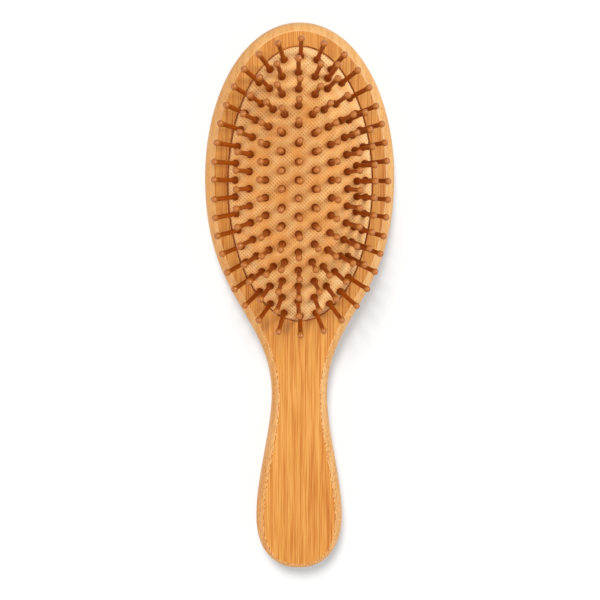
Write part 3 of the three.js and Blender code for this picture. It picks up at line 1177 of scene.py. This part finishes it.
@dataclass
class Cushion:
    """The cloth faced rubber cushion, swollen by its air between the pins that hold it down."""

    dome: Dome
    cells: tuple[int, int] = (53, 99)
    blow_up: float = 20.0
    frames: int = 18
    most_swell: float = 0.8 * MM
    hold_reach: float = 0.5 * MM
    hold_share: float = 0.985
    fold: float = 0.13 * MM
    fold_reach: float = 2.0 * MM
    fold_turn: float = 1.31
    fold_bend: float = 0.9
    bend_turn: float = 0.71
    cross_turn: float = 1.07
    cross_slant: float = 0.46
    cross_start: float = 1.1
    middle_share: float = 0.4
    rim_fade: float = 0.06
    rubber: float = 1.5 * MM
    skirt: float = 0.4 * MM
    bead_top_drop: float = 0.9 * MM
    inside_shares: tuple[float, ...] = (0.97, 0.9, 0.75, 0.5, 0.25)
    sharp_degrees: float = 50

    def crown(self, pins: Sequence[Piece], material: Material) -> Piece:
        """Makes the dome's grid, with the gap to the nearest pin kept on its points.

        Args:
            pins: The rows of pins.
            material: The cushion's finish.

        Returns:
            The crown alone.
        """
        recipe = Recipe("cushion_crown")
        across, along = (recipe.take(name, count + 1) for name, count in zip(("Across", "Along"), self.cells))
        sizes = {"Size X": 2.0, "Size Y": 2.0, "Vertices X": across, "Vertices Y": along}
        grid = recipe.out("GeometryNodeMeshGrid", inputs=sizes)
        u, v, _ = recipe.place()
        half_width = recipe.take("Half Width", self.dome.half_width)
        half_length = recipe.take("Half Length", self.dome.half_length)
        x = u * (1 - v * v / 2) ** 0.5 * half_width
        y = v * (1 - u * u / 2) ** 0.5 * half_length + self.dome.centre_y
        height, _ = self.dome.height_over(recipe, x, y)
        skin = recipe.move(grid, Position=recipe.vector(x, y, height))
        shapes = [recipe.shape_of(pin) for pin in pins]
        joined = recipe.out("GeometryNodeJoinGeometry", inputs={"Geometry": shapes})
        gap = recipe.out("GeometryNodeProximity", {"target_element": "FACES"}, {0: joined}, "Distance")
        return recipe.bake("cushion_pad_cloth", recipe.store(skin, "pin_gap", "FLOAT", gap), material)

    def swell(self, piece: Piece) -> None:
        """Blows the cloth up between the pins by a short cloth simulation.

        Args:
            piece: The crown.
        """
        mesh = piece.data
        start = coordinates(mesh)
        at_pin = pin_gaps(mesh) < self.hold_reach
        at_rim = self.dome.share_of(start) > self.hold_share
        group = piece.vertex_groups.new(name="held")
        group.add(np.flatnonzero(at_pin | at_rim).tolist(), 1.0, "REPLACE")
        set_coordinates(mesh, start * self.blow_up)
        modifier = piece.modifiers.new("air", "CLOTH")
        settings = modifier.settings
        for name, value in CLOTH_SETTINGS.items():
            setattr(settings, name, value)
        settings.vertex_group_mass = group.name
        settings.effector_weights.gravity = 0
        modifier.point_cache.frame_start = 1
        modifier.point_cache.frame_end = self.frames
        for number in range(1, self.frames + 1):
            bpy.context.scene.frame_set(number)
        swollen = coordinates(piece.evaluated_get(bpy.context.evaluated_depsgraph_get()).to_mesh())
        piece.modifiers.clear()
        piece.vertex_groups.clear()
        moved = swollen / self.blow_up - start
        length = np.maximum(np.linalg.norm(moved, axis=1, keepdims=True), 1e-9)
        set_coordinates(mesh, start + moved * np.minimum(1.0, self.most_swell / length))
        LOG.info("cushion swelled by up to %.2f mm", float(length.max()) / MM)
        bpy.context.scene.frame_set(1)

    def crease(self, piece: Piece) -> None:
        """Makes shallow folds between the pins, deepest near the rim, where two bent waves cross.

        Args:
            piece: The crown.
        """
        mesh = piece.data
        points = coordinates(mesh)
        x, y = points[:, 0] / MM, points[:, 1] / MM
        folds = np.sin(x * self.fold_turn + self.fold_bend * np.sin(y * self.bend_turn))
        folds *= np.sin(y * self.cross_turn - x * self.cross_slant + self.cross_start)
        share = self.dome.share_of(points)
        folds *= self.middle_share + (1 - self.middle_share) * share
        folds *= np.clip(pin_gaps(mesh) / self.fold_reach, 0, 1) * np.clip((1 - share) / self.rim_fade, 0, 1)
        points[:, 2] += folds * self.fold
        set_coordinates(mesh, points)

    def close(self, piece: Piece) -> None:
        """Adds the skirt, the bead in the groove and the rubber's inside to the crown.

        Args:
            piece: The crown.
        """
        dome = self.dome
        shape = bmesh.new()
        shape.from_mesh(piece.data)
        shape.faces.ensure_lookup_table()
        finish = shape.faces[0].material_index
        row = ordered_loop(edge for edge in shape.edges if edge.is_boundary)
        flat = [(vert.co.x / dome.half_width, (vert.co.y - dome.centre_y) / dome.half_length) for vert in row]
        top, floor = dome.edge_z - self.bead_top_drop, dome.edge_z - BEAD_FLOOR_DROP
        inside = dome.edge_z - self.rubber / 2
        bead = -PAD_GAP - BEAD_REACH
        steps = [
            (1.0, 0.0, dome.edge_z - self.skirt), (1.0, 0.0, top), (1.0, bead, top), (1.0, bead, floor),
            (1.0, self.rubber, floor), (1.0, self.rubber, inside),
        ]
        for share in self.inside_shares:
            rise = (dome.crown - self.rubber / 2) * (1 - share ** dome.fullness) ** dome.edge_fullness
            steps.append((share, self.rubber, inside + rise))
        for share, inset, z in steps:
            half_width, half_length = (dome.half_width - inset) * share, (dome.half_length - inset) * share
            made = [shape.verts.new((u * half_width, dome.centre_y + v * half_length, z)) for u, v in flat]
            strip_of_faces(shape, row, made)
            row = made
        shape.faces.new(row)
        for face in shape.faces:
            face.material_index = finish
        write_mesh(shape, piece.data, self.sharp_degrees)

    def build(self, pins: Sequence[Piece], material: Material) -> Piece:
        """Makes the cushion's piece.

        Args:
            pins: The rows of pins that hold the cloth down.
            material: Its finish.

        Returns:
            The piece.
        """
        piece = self.crown(pins, material)
        self.swell(piece)
        self.crease(piece)
        subdivision = piece.modifiers.new("fine", "SUBSURF")
        subdivision.levels = subdivision.render_levels = 2
        subdivision.boundary_smooth = "PRESERVE_CORNERS"
        settle(piece)
        self.close(piece)
        return piece


# Studio


@dataclass(frozen=True)
class Lamp:
    """A round soft box at a bearing from +X and a height angle, both in degrees."""

    name: str
    bearing: float
    rise: float
    size: float
    power: float
    colour: Sizes = (1.0, 1.0, 1.0)
    distance: float = 1.0

    def light(self) -> bpy.types.Light:
        """Makes the light itself.

        Returns:
            A disk of the lamp's size in metres.
        """
        light = bpy.data.lights.new(self.name, "AREA")
        light.shape = "DISK"
        light.size = self.size
        return light

    def build(self, target: Vector, lit: bpy.types.Collection) -> None:
        """Hangs the lamp.

        Args:
            target: The point that it faces.
            lit: The pieces that it lights.
        """
        light = self.light()
        light.energy = self.power
        light.color = self.colour
        turn, lift = math.radians(self.bearing), math.radians(self.rise)
        way = Vector((math.cos(lift) * math.cos(turn), math.cos(lift) * math.sin(turn), math.sin(lift)))
        holder = placed(self.name, light)
        holder.location = target + way * self.distance
        holder.rotation_euler = way.to_track_quat("Z", "Y").to_euler()
        holder.light_linking.receiver_collection = lit


class Sun(Lamp):
    """A lamp that lights the whole floor evenly, with its breadth in degrees as its size."""

    def light(self) -> bpy.types.Light:
        """Makes the light itself.

        Returns:
            A sun of the lamp's breadth.
        """
        light = bpy.data.lights.new(self.name, "SUN")
        light.angle = math.radians(self.size)
        return light


@dataclass
class Studio:
    """White floor, soft light and the photograph's camera."""

    eye: Sizes = (-12.4 * MM, 62.5 * MM, 440.2 * MM)
    focal_pixels: float = 972.9
    tilt: float = math.radians(7.95)
    yaw: float = math.radians(1.65)
    roll: float = math.radians(0.13)
    target_y: float = 30 * MM
    floor_size: float = 8.0
    floor_drop: float = 0.05 * MM
    floor_shade: float = 0.36
    floor_glow: float = 0.39
    sky: float = 0.48
    warm: Sizes = (1.0, 0.82, 0.58)
    cool: Sizes = (0.86, 0.97, 1.0)

    def build(self, pieces: Sequence[Piece]) -> None:
        """Makes the floor, lamps, world and camera.

        Args:
            pieces: The pieces of the brush.
        """
        self._world()
        brush, ground = (bpy.data.collections.new(name) for name in ("brush", "ground"))
        for piece in pieces:
            brush.objects.link(piece)
        ground.objects.link(self._floor())
        target = Vector((0, self.target_y, 0))
        Lamp("key", 20, 50, 0.36, 5.0, self.cool).build(target, brush)
        Lamp("ceiling", 0, 90, 1.6, 3.7, self.warm, 1.2).build(target, brush)
        Lamp("glint", 48, 38, 0.16, 1.3).build(target, brush)
        Lamp("fill", 190, 33, 0.50, 3.2, self.warm).build(target, brush)
        Sun("shade", 102, 52, 18, 5.1).build(target, ground)
        self._camera()
        bpy.context.scene.view_settings.view_transform = "Standard"

    def _floor(self) -> Piece:
        """Makes a white floor that keeps the brush's soft shadow.

        Returns:
            The floor.
        """
        mesh = bpy.data.meshes.new("floor")
        half = self.floor_size / 2
        corners = [(x * half, y * half, -self.floor_drop) for x, y in ((-1, -1), (1, -1), (1, 1), (-1, 1))]
        mesh.from_pydata(corners, [], [(0, 1, 2, 3)])
        tree = SurfaceTree("floor_white")
        diffuse = tree.out("ShaderNodeBsdfDiffuse", inputs={"Color": (self.floor_shade,) * 3 + (1,)})
        white = {"Color": (1, 1, 1, 1), "Strength": tree.seen() * self.floor_glow}
        glow = tree.out("ShaderNodeEmission", inputs=white)
        mesh.materials.append(tree.close(tree.out("ShaderNodeAddShader", inputs={0: diffuse, 1: glow})))
        floor = placed("floor", mesh)
        return floor

    def _world(self) -> None:
        """Lights the scene evenly from all round, with white where the world is seen."""
        world = bpy.data.worlds.new("studio")
        world.use_nodes = True
        tree = Tree(world.node_tree)
        tree.raw.nodes.clear()
        white = {"Color": (1, 1, 1, 1), "Strength": tree.seen() * (1 - self.sky) + self.sky}
        light = tree.out("ShaderNodeBackground", inputs=white)
        tree.node("ShaderNodeOutputWorld", inputs={"Surface": light})
        bpy.context.scene.world = world

    def _camera(self) -> None:
        """Sets the photograph's viewpoint, nearly straight above the cushion."""
        data = bpy.data.cameras.new("camera")
        data.sensor_width = SENSOR_WIDTH
        data.lens = self.focal_pixels * SENSOR_WIDTH / PHOTO_SIDE
        camera = placed("camera", data)
        camera.location = self.eye
        camera.rotation_euler = (-self.tilt, -self.yaw, self.roll)
        bpy.context.scene.camera = camera


# The whole brush


def nodes_named(start: str) -> list[str]:
    """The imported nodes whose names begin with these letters."""
    return sorted(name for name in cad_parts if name.startswith(start))


def log_piece(piece: Piece) -> None:
    """Logs a finished piece."""
    LOG.info("%s: %d faces", piece.name, len(piece.data.polygons))


def main() -> None:
    """Builds the brush's pieces in order, then the studio."""
    logging.basicConfig(level=logging.INFO, format="%(message)s")
    dome = Dome.from_frame()
    board = Board(dome).build(BambooFinish().material())
    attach(board, "board")
    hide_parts("paddle_body")
    log_piece(board)

    pins = Pins(dome)
    pattern = pins.pattern()
    wood = PinFinish().material()
    rows = [(row, pins.build_row(row, pattern, wood)) for row in pins.rows()]
    bpy.data.objects.remove(pattern)
    cloth = Cushion(dome).build([piece for _, piece in rows], ClothFinish(dome).material())
    for row, piece in rows:
        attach(piece, row.body)
        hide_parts(*nodes_named(row.body))
        log_piece(piece)
    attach(cloth, "board")
    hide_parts("cushion_pad")
    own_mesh(cloth)
    log_piece(cloth)

    Studio().build([board, cloth, *(piece for _, piece in rows)])


if __name__ == "__main__":
    main()
